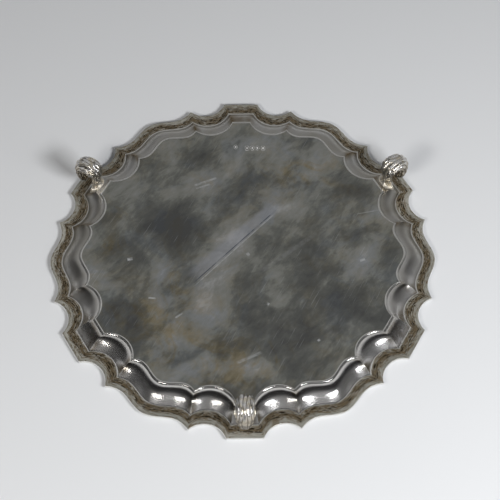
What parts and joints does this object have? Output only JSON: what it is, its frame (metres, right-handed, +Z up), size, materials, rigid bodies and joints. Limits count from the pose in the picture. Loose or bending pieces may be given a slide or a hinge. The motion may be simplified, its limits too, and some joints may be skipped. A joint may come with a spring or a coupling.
{
  "type": "footed salver",
  "caption": "Round silver salver with a pie-crust moulded border of flats, scallops and sharp cusps, a curved wall and reeded scroll feet.",
  "frame": {"origin": "centre of the plane the feet rest on, below the middle of the well", "axes": "+Z up, from the feet to the top of the border; -Y towards the front foot; +X to the right"},
  "size_m": [0.2032, 0.2042, 0.0263],
  "materials": {
    "silver_sheet": "polished silver, tarnished to a mottled grey on the flat well",
    "silver_border": "cast silver, polished above and stained brown below",
    "silver_feet": "cast silver, worn bright with dark tarnish in the valleys"
  },
  "bodies": {
    "root": {"salver_body": "silver_sheet", "border_section_1": "silver_border", "border_section_2": "silver_border", "border_section_3": "silver_border", "border_section_4": "silver_border", "border_section_5": "silver_border", "border_section_6": "silver_border", "foot_front": "silver_feet", "foot_back_right": "silver_feet", "foot_back_left": "silver_feet"}
  },
  "joints": []
}
